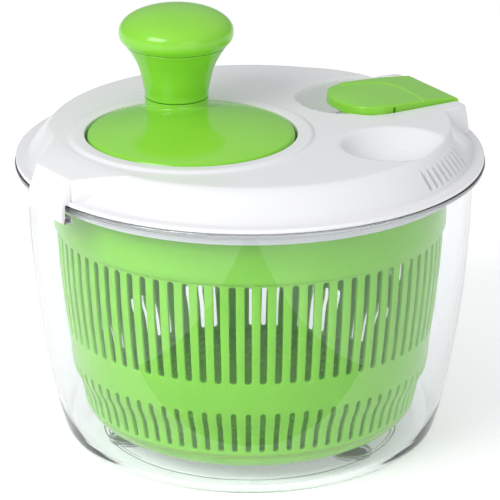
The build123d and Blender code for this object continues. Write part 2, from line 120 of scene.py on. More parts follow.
def rounded(corners, steps=5):
    """An outline through (r, z, fillet) corners, each sharp corner replaced by a short curve."""
    outline = []
    count = len(corners)
    for i, (r, z, fillet) in enumerate(corners):
        if fillet <= 0 or i in (0, count - 1):
            outline.append((r, z))
            continue
        start = toward((r, z), corners[i - 1][:2], fillet)
        end = toward((r, z), corners[i + 1][:2], fillet)
        for k in range(steps + 1):
            t = k / steps
            outline.append(tuple((1 - t) ** 2 * s + 2 * t * (1 - t) * m + t * t * e
                                 for s, m, e in zip(start, (r, z), end)))
    return outline


def toward(point, other, distance):
    """The point moved towards another, but never past half way."""
    gap = math.dist(point, other)
    share = min(distance / gap, 0.5) if gap else 0
    return tuple(p + (o - p) * share for p, o in zip(point, other))


def lathe(name, outline, x=0.0, y=0.0, segments=160, sharp=40.0, closed=False):
    """Turn an outline of (radius, height) about an upright axis."""
    points = []
    for r, z in outline:
        for j in range(segments):
            turn = 2 * pi * j / segments
            points.append((x + max(r, 0) * cos(turn), y + max(r, 0) * sin(turn), z))
    return make_mesh(name, points, grid_faces(len(outline), segments, closed_rows=closed), sharp)


def blend(low, high, value):
    """0 below low, 1 above high, and an even S between."""
    t = min(max((value - low) / (high - low), 0.0), 1.0)
    return t * t * (3 - 2 * t)


def soft_min(a, b, width):
    """The smaller of two heights, with the crease between them rounded over a width."""
    t = max(width - abs(a - b), 0.0) / width
    return min(a, b) - t * t * width * 0.25


def join(name, pieces, sharp=40.0):
    """Several meshes as one object."""
    shape = bmesh.new()
    for piece in pieces:
        shape.from_mesh(piece.data)
        bpy.data.objects.remove(piece)
    mesh = bpy.data.meshes.new(name)
    shape.to_mesh(mesh)
    shape.free()
    obj = bpy.data.objects.new(name, mesh)
    bpy.context.scene.collection.objects.link(obj)
    soften(obj, sharp)
    return obj


def settle(obj, sharp=40.0):
    """Turn an object's modifiers into plain mesh."""
    graph = bpy.context.evaluated_depsgraph_get()
    mesh = bpy.data.meshes.new_from_object(obj.evaluated_get(graph))
    obj.modifiers.clear()
    obj.data = mesh
    soften(obj, sharp)
    return obj


def cut(obj, tools, sharp=30.0):
    """Take closed meshes out of another."""
    for tool in tools:
        step = obj.modifiers.new("cut", "BOOLEAN")
        step.operation = "DIFFERENCE"
        step.solver = "MANIFOLD"
        step.object = tool
    settle(obj, sharp)
    for tool in tools:
        bpy.data.objects.remove(tool)
    return obj


def bevelled(obj, width, segments=3, angle=35, sharp=40.0):
    """Round every edge sharper than an angle."""
    edge = obj.modifiers.new("edge", "BEVEL")
    edge.width = width * MM
    edge.segments = segments
    edge.limit_method = "ANGLE"
    edge.angle_limit = radians(angle)
    edge.harden_normals = False
    edge.use_clamp_overlap = True
    return settle(obj, sharp)


# ---------------------------------------------------------------- finishes
class Value:
    """A number that varies over a surface; sums and products of it become Math nodes."""

    def __init__(self, finish, socket):
        self.finish = finish
        self.socket = socket

    def __add__(self, other):
        return self.finish.sum("ADD", self, other)

    __radd__ = __add__

    def __sub__(self, other):
        return self.finish.sum("SUBTRACT", self, other)

    def __rsub__(self, other):
        return self.finish.sum("SUBTRACT", other, self)

    def __mul__(self, other):
        return self.finish.sum("MULTIPLY", self, other)

    __rmul__ = __mul__


class Finish:
    """A material and the nodes that make it."""

    def __init__(self, name):
        self.material = bpy.data.materials.new(name)
        self.material.use_nodes = True
        self.tree = self.material.node_tree
        self.tree.nodes.clear()
        self.place = self.node("ShaderNodeTexCoord").outputs["Object"]

    def node(self, kind, settings=None, sockets=None):
        """Add a node: its settings first, then values or links for its sockets."""
        made = self.tree.nodes.new(kind)
        for key, value in (settings or {}).items():
            setattr(made, key, value)
        for key, value in (sockets or {}).items():
            if isinstance(value, Value):
                value = value.socket
            if isinstance(value, bpy.types.NodeSocket):
                self.tree.links.new(value, made.inputs[key])
            else:
                made.inputs[key].default_value = value
        return made

    def sum(self, operation, a, b):
        """One Math node."""
        return Value(self, self.node("ShaderNodeMath", {"operation": operation}, {0: a, 1: b}).outputs[0])

    def noise(self, scale, detail=3.0, rough=0.55, stretch=None):
        """Soft random patches, 0 to 1; stretch gives the grain a direction."""
        where = self.place
        if stretch:
            where = self.node("ShaderNodeMapping", None, {"Vector": where, "Scale": stretch}).outputs[0]
        made = self.node("ShaderNodeTexNoise", None,
                         {"Vector": where, "Scale": scale, "Detail": detail, "Roughness": rough})
        return Value(self, made.outputs["Fac"])

    def between(self, value, low, high):
        """The value stretched so that low gives 0 and high gives 1, and held there."""
        made = self.node("ShaderNodeMapRange", {"clamp": True},
                         {"Value": value, "From Min": low, "From Max": high, "To Min": 0.0, "To Max": 1.0})
        return Value(self, made.outputs[0])

    def worn_edges(self, start=0.52, end=0.60):
        """1 on outer edges, 0 on open surfaces."""
        return self.between(Value(self, self.node("ShaderNodeNewGeometry").outputs["Pointiness"]), start, end)

    def tint(self, amount, plain, other):
        """A colour that goes from plain to other."""
        made = self.node("ShaderNodeMix", {"data_type": "RGBA"}, {0: amount})
        for index, colour in ((6, plain), (7, other)):
            if isinstance(colour, bpy.types.NodeSocket):
                self.tree.links.new(colour, made.inputs[index])
            else:
                made.inputs[index].default_value = (*colour, 1.0)
        return made.outputs[2]

    def bump(self, height, strength, distance):
        """A normal from a height."""
        return self.node("ShaderNodeBump", None,
                         {"Height": height, "Strength": strength, "Distance": distance}).outputs[0]

    def surface(self, **sockets):
        """The main shader; names use _ for the spaces of its sockets."""
        named = {key.replace("_", " "): value for key, value in sockets.items()}
        return self.node("ShaderNodeBsdfPrincipled", None, named).outputs[0]

    def done(self, shader):
        """Send the shader to the output."""
        self.node("ShaderNodeOutputMaterial", None, {"Surface": shader})
        return self.material


def scuffs(finish, scale):
    """Fine hairline scratches, mostly absent: 1 in a scratch."""
    along = finish.noise(scale, 1.0, 0.4, (1.0, 22.0, 9.0))
    across = finish.noise(scale * 0.8, 1.0, 0.4, (20.0, 1.0, 8.0))
    return finish.between(along * across, 0.47, 0.58)


def moulded(name, colour, deep, pale, gloss, peel=0.05, glow=0.0):
    """Injection-moulded plastic: slight cloudiness, orange peel, dulled edges and hairline scuffs."""
    finish = Finish(name)
    cloud = finish.between(finish.noise(14.0, 2.0), 0.30, 0.70)
    flow = finish.between(finish.noise(40.0, 2.0, 0.5, (1.0, 1.0, 4.0)), 0.30, 0.75)
    worn = finish.worn_edges()
    marks = scuffs(finish, 120.0)
    base = finish.tint(cloud * 0.5, colour, deep)
    base = finish.tint(flow * 0.14 + marks * 0.06 + worn * 0.25, base, pale)
    ripple = finish.noise(300.0, 1.0, 0.4) * 0.5 + finish.noise(1400.0, 2.0, 0.5) * 0.2
    rough = gloss + cloud * 0.03 + flow * 0.02 + worn * 0.08 + marks * 0.10
    return finish.done(finish.surface(
        Base_Color=base, Roughness=rough, IOR=1.50, Normal=finish.bump(ripple, peel, 0.0002),
        Subsurface_Weight=glow, Subsurface_Radius=(0.6, 1.0, 0.15), Subsurface_Scale=0.004))


green_gloss = moulded("green_polished_plastic",
                      (0.255, 0.68, 0.04), (0.225, 0.63, 0.03), (0.40, 0.78, 0.14), 0.13)
green_basket = moulded("green_basket_plastic",
                       (0.245, 0.67, 0.04), (0.205, 0.60, 0.03), (0.38, 0.76, 0.13), 0.20, glow=0.55)
white_plastic = moulded("white_lid_plastic",
                        (0.84, 0.84, 0.85), (0.81, 0.812, 0.825), (0.89, 0.89, 0.895), 0.24)
plain_plastic = moulded("natural_bearing_plastic",
                        (0.78, 0.76, 0.70), (0.70, 0.68, 0.61), (0.86, 0.85, 0.80), 0.38)


def make_clear_plastic():
    """Water-clear styrene: a polished wall with faint haze, flow marks and hairline scuffs."""
    finish = Finish("clear_bowl_plastic")
    marks = scuffs(finish, 70.0)
    haze = finish.between(finish.noise(25.0, 3.0), 0.45, 0.75)
    ripple = finish.noise(55.0, 2.0, 0.4, (1.0, 1.0, 0.35)) + marks * 0.15
    glass = finish.surface(
        Base_Color=finish.tint(haze, (0.950, 0.962, 0.968), (0.930, 0.946, 0.955)),
        Roughness=0.012 + haze * 0.015 + marks * 0.10, IOR=1.49, Transmission_Weight=1.0,
        Normal=finish.bump(ripple, 0.05, 0.0006))
    see_through = finish.node("ShaderNodeBsdfTransparent", None, {"Color": (0.93, 0.95, 0.95, 1.0)}).outputs[0]
    lamp_ray = finish.node("ShaderNodeLightPath").outputs["Is Shadow Ray"]
    mixed = finish.node("ShaderNodeMixShader", None, {0: lamp_ray, 1: glass, 2: see_through})
    return finish.done(mixed.outputs[0])


def make_rubber():
    """Grey foot rubber, matt and faintly grained."""
    finish = Finish("grey_foot_rubber")
    grain = finish.noise(900.0, 3.0, 0.6)
    dust = finish.between(finish.noise(60.0, 4.0), 0.45, 0.75)
    return finish.done(finish.surface(
        Base_Color=finish.tint(dust, (0.085, 0.105, 0.095), (0.16, 0.18, 0.16)),
        Roughness=0.62 + dust * 0.2, Normal=finish.bump(grain, 0.25, 0.0004)))


def make_steel():
    """Plated screw steel with fine turning marks."""
    finish = Finish("plated_screw_steel")
    turned = finish.noise(700.0, 2.0, 0.5, (1.0, 1.0, 8.0))
    tarnish = finish.between(finish.noise(120.0, 4.0), 0.5, 0.8)
    return finish.done(finish.surface(
        Base_Color=finish.tint(tarnish, (0.62, 0.62, 0.61), (0.42, 0.41, 0.38)),
        Metallic=1.0, Roughness=0.24 + tarnish * 0.2, Normal=finish.bump(turned, 0.2, 0.0002)))


clear_plastic = make_clear_plastic()
foot_rubber = make_rubber()
screw_steel = make_steel()

FINISH_OF_SLOT = {
    "clear_bowl": clear_plastic, "green_basket": green_basket, "green_gloss": green_gloss,
    "white_lid": white_plastic, "natural_plastic": plain_plastic, "foot_rubber": foot_rubber,
    "screw_steel": screw_steel,
}


def finish_piece(obj, material, body, slot, *nodes):
    """Give a piece its finish and the body it moves with, and hide the imported nodes it stands in for."""
    obj.data.materials.clear()
    obj.data.materials.append(material)
    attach(obj, body)
    if nodes:
        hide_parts(*nodes)
    return obj


# ---------------------------------------------------------------- bowl
BOWL_UNDER = 1.6
BOWL_WALL = 2.6
BOWL_FLOOR = BOWL_UNDER + BOWL_WALL
WALL_LOW = (99.8, BOWL_UNDER)       # outer wall carried to the underside
WALL_MIDDLE = (114.15, 77.8)
WALL_NECK = (118.6, RIM_TOP - 3)
PAD_PITCH_R = 70.0
PAD_ANGLES = (50, 170, 290)


def wall_radius(z, inset=0.0):
    """Outer radius of the bowl wall at a height: one long arc through three points."""
    (r1, z1), (r2, z2), (r3, z3) = WALL_LOW, WALL_MIDDLE, WALL_NECK
    t = (z - z1) / (z3 - z1)
    bulge = r2 - (r1 + r3) / 2
    return r1 + (r3 - r1) * t + 4 * bulge * t * (1 - t) - inset


def make_bowl():
    """The bowl with its rim flange, rounded heel, centre pivot, foot ring and sockets."""
    heights = [22 + (RIM_TOP - 4 - 22) * k / 22 for k in range(23)]
    outside = [(0, BOWL_UNDER, 0), (77.4, BOWL_UNDER, 0.3), (77.9, BOWL_UNDER - 0.8, 0.3),
               (79.5, BOWL_UNDER - 0.8, 0.3), (80.0, BOWL_UNDER, 0.3), (98.9, BOWL_UNDER, 12.5),
               (wall_radius(22), 22, 0)]
    outline = rounded(outside, 8) + [(wall_radius(z), z) for z in heights[1:]]
    outline += rounded([(wall_radius(RIM_TOP - 4), RIM_TOP - 4, 0), (118.6, RIM_TOP - 3.0, 0.5),
                        (RIM_R, RIM_TOP - 3.0, 1.3), (RIM_R, RIM_TOP, 1.2), (117.0, RIM_TOP, 0.7),
                        (116.0, RIM_TOP - 1.2, 0)], 5)
    outline += [(wall_radius(z, BOWL_WALL), z) for z in reversed(heights[1:])]
    outline += rounded([(wall_radius(22, BOWL_WALL), 22, 0), (96.4, BOWL_FLOOR, 11.0), (12.5, BOWL_FLOOR, 0.6),
                        (9.4, BOWL_FLOOR + 0.4, 1.0), (6.6, 9.0, 0.4), (3.2, 9.0, 0.3), (3.2, 18.8, 0.3),
                        (2.0, 20.0, 0.3), (0, 20.0, 0)], 7)
    parts = [lathe("bowl_wall", outline, segments=256, sharp=50)]
    for angle in PAD_ANGLES:
        x, y = PAD_PITCH_R * cos(radians(angle)), PAD_PITCH_R * sin(radians(angle))
        collar = rounded([(PAD_R + 2.3, BOWL_FLOOR + 0.02, 0), (PAD_R + 2.1, BOWL_FLOOR + 1.3, 0.5),
                          (PAD_R + 0.6, BOWL_FLOOR + 1.3, 0.5), (PAD_R + 0.3, BOWL_FLOOR + 0.02, 0)], 4)
        parts.append(lathe("foot_socket", collar, x, y, segments=48, closed=True))
        lip = rounded([(PAD_R + 2.2, BOWL_UNDER - 0.02, 0), (PAD_R + 2.0, BOWL_UNDER - 0.8, 0.3),
                       (PAD_R + 0.5, BOWL_UNDER - 0.8, 0.3), (PAD_R + 0.2, BOWL_UNDER - 0.02, 0)], 4)
        parts.append(lathe("foot_socket_lip", lip, x, y, segments=48, closed=True))
    return join("clear_bowl", parts, 50)


finish_piece(make_bowl(), clear_plastic, "root", "clear_bowl", "bowl")


def make_foot_pad(number, angle):
    """A round rubber foot with a rounded tread edge and a shallow ring."""
    outline = rounded([(0, 0, 0), (4.4, 0, 0.2), (4.8, 0.35, 0.1), (5.4, 0.35, 0.1), (5.8, 0, 0.2),
                       (PAD_R, 0, 0.9), (PAD_R, 1.55, 0.3), (0, 1.55, 0)], 5)
    pad = lathe(f"rubber_foot_{number}", outline, PAD_PITCH_R * cos(radians(angle)),
                PAD_PITCH_R * sin(radians(angle)), segments=64)
    return finish_piece(pad, foot_rubber, "root", "foot_rubber", f"foot_pad_{number}")


for pad_number, pad_angle in enumerate(PAD_ANGLES, 1):
    make_foot_pad(pad_number, pad_angle)

# ---------------------------------------------------------------- basket
SLOTS = 80
COLUMNS_PER_SLOT = 3                # one column of slot, two of bar
FLOOR_Z = 20.0
UPPER_SLOT = (65.7, 121.0, 3.6)     # bottom, top, width
LOWER_SLOT = (24.0, 48.5, 2.8)
FLOOR_RINGS = (41, 49, 58, 68, 78)
LUG_ANGLES = (60, 180, 300)
NOTCH_DEPTH = 5.6

BASKET_WALL = [
    (105.3, BASKET_TOP), (105.3, BASKET_TOP - NOTCH_DEPTH), (105.2, 136.0), (105.1, 127.0), (105.0, 123.6),
    (104.4, 122.6), (103.5, 122.0),
]


def basket_radius(z):
    """Outer radius of the slotted wall below the collar."""
    knots = [(20.0, 89.0), (24.0, 90.1), (36.0, 92.5), (40.5, 94.4), (44.0, 96.6), (57.5, 97.6), (81.0, 100.6),
             (103.0, 102.7), (122.0, 103.5)]
    for (z1, r1), (z2, r2) in zip(knots, knots[1:]):
        if z <= z2:
            return r1 + (r2 - r1) * (z - z1) / (z2 - z1)
    return knots[-1][1]


def slot_rows(slot):
    """Heights down a slot, close together at its rounded ends: (height, share of full width)."""
    bottom, top, _ = slot
    inner = [bottom + 1.0 + (top - bottom - 2.0) * k / 5 for k in range(6)]
    return [(top, 0.55)] + [(z, 1.0) for z in reversed(inner)] + [(bottom, 0.55)]


def make_basket():
    """The slotted basket: one sheet of quads with the slots left out, thickened inwards."""
    rows = [(r, z, 3.6, 1.0, "wall") for r, z in BASKET_WALL]
    for slot, gap_below in ((UPPER_SLOT, (60.0, 54.0)), (LOWER_SLOT, ())):
        marks = slot_rows(slot)
        for i, (z, share) in enumerate(marks):
            kind = "slot" if i < len(marks) - 1 else "wall"
            rows.append((basket_radius(z), z, slot[2], share, kind))
        rows += [(basket_radius(z), z, slot[2], 1.0, "wall") for z in gap_below]
    rows.append((89.4, 21.6, 2.8, 1.0, "wall"))
    rows.append((87.6, FLOOR_Z, 2.8, 1.0, "wall"))
    for ring in reversed(FLOOR_RINGS):
        rows.append((ring + 1.4, FLOOR_Z, 2.8, 1.0, "ring"))
        rows.append((ring - 1.4, FLOOR_Z, 2.8, 1.0, "wall"))
    rows += [(30.0, FLOOR_Z, 2.8, 1.0, "wall"), (13.2, FLOOR_Z, 2.8, 1.0, "wall")]
    columns = SLOTS * COLUMNS_PER_SLOT
    points = []
    for r, z, width, share, _ in rows:
        half = width * share / 2 / max(r, 60.0)
        for slot in range(SLOTS):
            middle = 2 * pi * slot / SLOTS
            for turn in (middle - half, middle + half, middle + pi / SLOTS):
                points.append((r * cos(turn), r * sin(turn), z))
    faces = []
    for i in range(len(rows) - 1):
        kind = rows[i][4]
        for j in range(columns):
            if kind == "slot" and j % COLUMNS_PER_SLOT == 0:
                continue
            if kind == "ring" and j % 10 not in (0, 5):
                continue
            if i == 0 and near_lug(points[j], points[(j + 1) % columns]):
                continue
            a, b = i * columns + j, i * columns + (j + 1) % columns
            faces.append((a, b, b + columns, a + columns))
    sheet = make_mesh("basket_sheet", points, faces, 40)
    outward = sum(f.normal.dot(f.center) * (1 if f.center.z > 0.03 else 0) for f in sheet.data.polygons)
    wall = sheet.modifiers.new("wall", "SOLIDIFY")
    wall.thickness = 2.1 * MM
    wall.offset = -1 if outward > 0 else 1
    wall.use_even_offset = True
    edge = sheet.modifiers.new("edge", "BEVEL")
    edge.width = 0.32 * MM
    edge.segments = 2
    edge.limit_method = "ANGLE"
    edge.angle_limit = radians(50)
    edge.harden_normals = False
    settle(sheet, 42)
    skirt = rounded([(89.2, 21.4, 0), (86.0, 16.2, 4.0), (79.0, 11.0, 4.0), (70.5, 9.3, 1.0), (70.1, 10.4, 0.8),
                     (78.0, 13.2, 3.0), (83.8, 17.0, 3.0), (86.8, 19.6, 0)], 5)
    hub = rounded([(13.6, FLOOR_Z - 0.6, 0), (13.2, 25.8, 1.6), (0, 26.0, 0)], 5)
    hub_under = rounded([(16.0, FLOOR_Z - 2.2, 0), (13.4, FLOOR_Z - 3.4, 1.2), (13.0, 11.4, 0.5),
                         (8.0, 11.4, 0.2), (8.0, 22.4, 0)], 4)
    parts = [sheet, lathe("basket_skirt", skirt, segments=240, closed=True),
             lathe("basket_hub", hub + list(reversed(hub_under)), segments=64, closed=False)]
    return join("slotted_basket", parts, 42)


def near_lug(a, b):
    """True if the stretch of rim between two points is in one of the driver's notches."""
    middle = math.degrees(math.atan2(a[1] + b[1], a[0] + b[0])) % 360
    return any(abs((middle - angle + 180) % 360 - 180) < 3.8 for angle in LUG_ANGLES)


finish_piece(make_basket(), green_basket, "basket", "green_basket", "basket")

# ---------------------------------------------------------------- lid
PLATEAU_R = 106.5
SLOPE_FOOT_R = 118.8
WELL_R = 56.0
WELL_FLOOR = 165.5
RING_OUT_R = 64.5
LATCH_HALF = (latch_high[1] - latch_low[1]) / 2
CLAW_HALF = 12.0
POCKET_FLOOR = 161.5
TONGUE_LENGTH = 19.5                # from the latch's tip to where its sides run straight
LID_SKIN = 2.2
NOSE_TOP_X = 116.8                  # flat front of the nose that carries the latch
NOSE_FOOT_X = 121.2
LID_COLUMNS = 600
VENT_BACK_R = 109.4
VENT_LEDGE = 161.2
VENT_ANGLES = [-68.1 + 2.75 * step for step in range(9)]
HOOK_TURN = 3.5                     # the hook sits this many degrees off the latch's line
HOOK_TOP_X = -121.8
HOOK_TOP_Z = 171.0
HOOK_OUT_X = -127.6
HOOK_BOTTOM = lid_low[2]


def nose(angle):
    """How far the lid bulges out round the latch at an angle, 0 to 1."""
    return 1 - blend(14.9, 20.5, abs(angle))


def flute(angle):
    """How deep the hollow beside the nose is, 0 to 1."""
    return blend(16.5, 22.5, abs(angle)) * (1 - blend(31.0, 44.0, abs(angle)))


def scoop_height(x, y):
    """Height of the two finger scoops, or far above the lid away from them."""
    reach = math.dist((x, y), (46.5, -68.0)) / 27.6
    bowl = LID_TOP - 11.5 * (1 - reach ** 2.2)
    edge = LID_TOP - (105.2 - math.hypot(x, y)) * 1.3
    front = max(bowl, edge)
    reach = (abs(x - 78) / 37.0) ** 2.4 + (abs(y - 11.5) / 29.5) ** 2.4
    back = LID_TOP - 12.9 * (1 - reach ** 2)
    return min(front, back)


def lid_top(x, y, z):
    """The lid's upper surface with the scoops sunk into it."""
    return soft_min(z, scoop_height(x, y), 1.3)


def lid_rows():
    """Rows of points from the well's middle out to the flange edge, then back inside."""
    turns = [2 * pi * j / LID_COLUMNS for j in range(LID_COLUMNS)]
    rows = []
    well = rounded([(9.0, WELL_FLOOR, 0), (WELL_R, WELL_FLOOR, 1.0), (WELL_R, RING_TOP - 0.2, 0.9),
                    (RING_OUT_R - 1.2, RING_TOP + 0.05, 1.6), (RING_OUT_R + 0.5, LID_TOP, 1.0),
                    (RING_OUT_R + 1.7, LID_TOP, 0)], 6)
    well.insert(1, (30.0, WELL_FLOOR))
    for r, z in well:
        rows.append([(DISC_X + r * cos(t), r * sin(t), z) for t in turns])
    brim = rows[-1]
    edge = [plateau_point(t) for t in turns]
    steps = 56
    for k in range(1, steps + 1):
        share = k / steps
        row = []
        for (ax, ay, _), (bx, by) in zip(brim, edge):
            x, y = ax + (bx - ax) * share, ay + (by - ay) * share
            row.append((x, y, lid_top(x, y, LID_TOP)))
        rows.append(row)
    for k in range(26):
        row = []
        for t in turns:
            r, z = slope_point(math.degrees(t), k / 25)
            x, y = r * cos(t), r * sin(t)
            row.append((x, y, lid_top(x, y, z)))
        rows.append(row)
    outside = rounded([(FLANGE_R - 0.7, FLANGE_TOP, 0), (FLANGE_R, FLANGE_TOP, 0.7),
                       (FLANGE_R, RIM_TOP + 0.05, 0.5), (114.8, RIM_TOP + 0.05, 0.4), (114.8, 148.0, 0.6),
                       (112.6, 148.0, 0.6), (112.6, 158.0, 0.6), (108.0, 159.4, 0.6), (108.0, 166.0, 1.5),
                       (105.0, 171.0, 0)], 4)
    for r, z in outside:
        rows.append([(r * cos(t), r * sin(t), z) for t in turns])
    ceiling = LID_TOP - LID_SKIN
    inner_edge = [(104.4 * cos(t), 104.4 * sin(t)) for t in turns]
    inner_brim = [(DISC_X + (WELL_R + 2.2) * cos(t), (WELL_R + 2.2) * sin(t)) for t in turns]
    steps = 30
    for k in range(steps + 1):
        share = k / steps
        row = []
        for (ax, ay), (bx, by) in zip(inner_edge, inner_brim):
            x, y = ax + (bx - ax) * share, ay + (by - ay) * share
            row.append((x, y, min(ceiling, scoop_height(x, y) - LID_SKIN, pocket_tray(x, y))))
        rows.append(row)
    for r, z in ((WELL_R + 2.2, WELL_FLOOR - 2.2), (30.0, WELL_FLOOR - 2.2), (12.5, WELL_FLOOR - 2.2),
                 (12.5, 161.0), (9.0, 161.0)):
        rows.append([(DISC_X + r * cos(t), r * sin(t), z) for t in turns])
    return rows


def plateau_point(turn):
    """Where the flat of the lid starts to round over, in plan."""
    r = slope_point(math.degrees(turn), 0.0)[0]
    return r * cos(turn), r * sin(turn)


def slope_point(angle, share):
    """Radius and height down the lid's shoulder, from the flat to the flange."""
    angle = (angle + 180) % 360 - 180
    bulge = nose(angle)
    square = 1 / cos(radians(min(abs(angle), 20.0)))
    crest = PLATEAU_R + (NOSE_TOP_X * square - PLATEAU_R) * bulge + 1.2 * flute(angle)
    nose_foot = min(NOSE_FOOT_X * square, FLANGE_R - 1.1)
    foot = SLOPE_FOOT_R + (nose_foot - SLOPE_FOOT_R) * bulge + 0.6 * flute(angle)
    near_ring = blend(135.0, 155.0, abs(angle))
    soft = 5.6 - 2.6 * bulge - 2.6 * flute(angle) - 2.2 * near_ring
    outline = rounded([(crest - soft - 0.4, LID_TOP, 0), (crest, LID_TOP, soft),
                       (foot, FLANGE_TOP, 0.9), (FLANGE_R - 0.85, FLANGE_TOP, 0)], 9)
    place = share * (len(outline) - 1)
    i = min(int(place), len(outline) - 2)
    part = place - i
    r = outline[i][0] + (outline[i + 1][0] - outline[i][0]) * part
    z = outline[i][1] + (outline[i + 1][1] - outline[i][1]) * part
    down = (LID_TOP - z) / (LID_TOP - FLANGE_TOP)
    hollow = 3.9 * flute(angle) * max(0.0, sin(pi * min(down * 1.04, 1.0))) ** 0.9
    return r - hollow, z


def pocket_tray(x, y):
    """Underside of the latch pocket's tray, or far above elsewhere."""
    side = LATCH_HALF + 0.6 + LID_SKIN
    inside = x > latch_low[0] - 6 and abs(y) < min(side, 13 + (x - latch_low[0] + 6) * 1.4)
    return POCKET_FLOOR - LID_SKIN if inside else 1000.0


def tongue_start(y):
    """How far along the lever its outline begins, at a distance to one side."""
    return TONGUE_LENGTH * (1 - max(1 - (abs(y) / LATCH_HALF) ** 2.3, 0.0) ** (1 / 2.3))


def pocket_tool():
    """A closed block: the room round the latch, the claw's way out, and a small chamfer round the top."""
    wide, narrow, wall = LATCH_HALF + 0.6, CLAW_HALF + 0.6, NOSE_FOOT_X - 1.6
    shares = [k / 12 for k in range(12, -13, -1)]
    corners = [(latch_low[0] - 1.3 + tongue_start(LATCH_HALF * t), wide * t) for t in shares]
    corners += [(wall, -wide), (wall, -narrow), (140.0, -narrow), (140.0, narrow), (wall, narrow), (wall, wide)]
    levels = [(POCKET_FLOOR, 0.0), (LID_TOP - 0.55, 0.0), (LID_TOP + 0.25, 0.8), (190.0, 0.8)]
    points = []
    for z, grow in levels:
        points += [(x + (grow if x > 80 else -grow), y * (1 + grow / abs(y)) if abs(y) > 5 else y, z)
                   for x, y in corners]
    count = len(corners)
    faces = grid_faces(len(levels), count)
    last = len(points) - count
    faces += [tuple(reversed(range(count))), tuple(range(last, last + count))]
    return make_mesh("pocket_cutter", points, faces)


def vent_tool(angle):
    """A thin upright block with a pointed inner end; its inner face is the bright back wall of the vent."""
    half = 1.4
    plan = [(VENT_BACK_R - 0.7, 0.0), (VENT_BACK_R, half), (125.0, half), (125.0, -half), (VENT_BACK_R, -half)]
    turn = radians(angle)
    points = [(r * cos(turn) - across * sin(turn), r * sin(turn) + across * cos(turn), z)
              for z in (VENT_LEDGE, LID_TOP + 6) for r, across in plan]
    count = len(plan)
    faces = grid_faces(2, count) + [tuple(reversed(range(count))), tuple(range(count, 2 * count))]
    return make_mesh("vent_cutter", points, faces)


def make_lid():
    """The lid shell with its well, scoops, nose, flutes, vents and fixed hook."""
    rows = lid_rows()
    points = [point for row in rows for point in row]
    shell = make_mesh("lid_body", points, grid_faces(len(rows), LID_COLUMNS, closed_rows=True), 45)
    tools = [pocket_tool()]
    tools += [vent_tool(angle) for angle in VENT_ANGLES]
    cut(shell, tools, 32)
    return join("white_lid", [shell, make_hook()], 34)


def make_hook():
    """The fixed hook: a wide facet slopes down from the flat, then a leg wraps round the bowl's flange."""
    facet = [-97.5, -101.0, -104.5, -108.0, -111.5, -115.5, -119.0, HOOK_TOP_X]
    outline = [(x, None) for x in facet]
    outline += [(HOOK_OUT_X + 0.9, 159.0), (HOOK_OUT_X, 154.0), (HOOK_OUT_X, HOOK_BOTTOM + 1.0),
                (HOOK_OUT_X + 1.2, HOOK_BOTTOM), (-121.5, HOOK_BOTTOM), (-121.5, 151.2), (-125.4, 151.2),
                (-125.4, 158.0), (HOOK_TOP_X, 158.0), (-113.0, 158.0), (-104.0, 165.0), (-97.5, 171.0)]
    count = len(outline)
    across = 24
    points = []
    for k in range(across + 1):
        side = -1 + 2 * k / across
        for x, z in outline:
            y = side * hook_half_width(x)
            points.append((x, y, facet_height(x, y) if z is None else z))
    faces = grid_faces(across + 1, count)
    turn = radians(HOOK_TURN)
    points = [(x * cos(turn) - y * sin(turn), x * sin(turn) + y * cos(turn), z) for x, y, z in points]
    leg = [j for j in range(count) if outline[j][0] <= HOOK_TOP_X]
    root = [j for j in range(count) if outline[j][0] >= HOOK_TOP_X]
    for start in (0, across * count):
        faces.append([start + j for j in leg])
        faces.append([start + j for j in root])
    return bevelled(make_mesh("hook", points, faces), 1.0, 4, 30, 34)


def hook_half_width(x):
    """The hook widens into the lid."""
    return 16.5 + max(x - HOOK_TOP_X, 0.0) * 0.88


def facet_height(x, y):
    """The facet runs from the round edge of the flat down to the hook's straight outer edge."""
    run = -sqrt(PLATEAU_R ** 2 - y ** 2) - HOOK_TOP_X
    return min(LID_TOP - 0.15, HOOK_TOP_Z + (LID_TOP - HOOK_TOP_Z) * (x - HOOK_TOP_X) / run)


finish_piece(make_lid(), white_plastic, "lid", "white_lid", "lid_shell")

# ---------------------------------------------------------------- latch
TONGUE_TIP = latch_low[0]
CLAW_OUT = latch_high[0]
LEVER_END = 118.4                   # the lever's full width ends here
LATCH_TOP = latch_high[2]
LATCH_EDGE = 1.2


def latch_half_width(reach):
    """Half width at a distance along the lever: a round tongue, then straight sides."""
    t = min(max(1 - reach / TONGUE_LENGTH, 0.0), 1.0)
    return LATCH_HALF * max(1 - t ** 2.3, 0.0) ** (1 / 2.3)


def thumb_step(x, y):
    """Depth of the shallow step that frames the thumb pad."""
    side = 1 - blend(-0.45, 0.45, y - 19.3 + (x - 70.8) * 0.183) * blend(70.3, 71.3, x)
    corner = 97.0 - max(y - 3.0, 0.0) ** 2 * 0.037 - max(-y - 11.0, 0.0) * 0.16
    return 0.55 * side * (1 - blend(-0.45, 0.45, x - corner))


def along(chain, distance):
    """Point and direction at a distance along a chain of points."""
    for a, b in zip(chain, chain[1:]):
        length = math.dist(a, b)
        if distance <= length or b == chain[-1]:
            t = min(distance / length, 1.0)
            point = tuple(p + (q - p) * t for p, q in zip(a, b))
            return point, ((b[0] - a[0]) / length, (b[1] - a[1]) / length)
        distance -= length


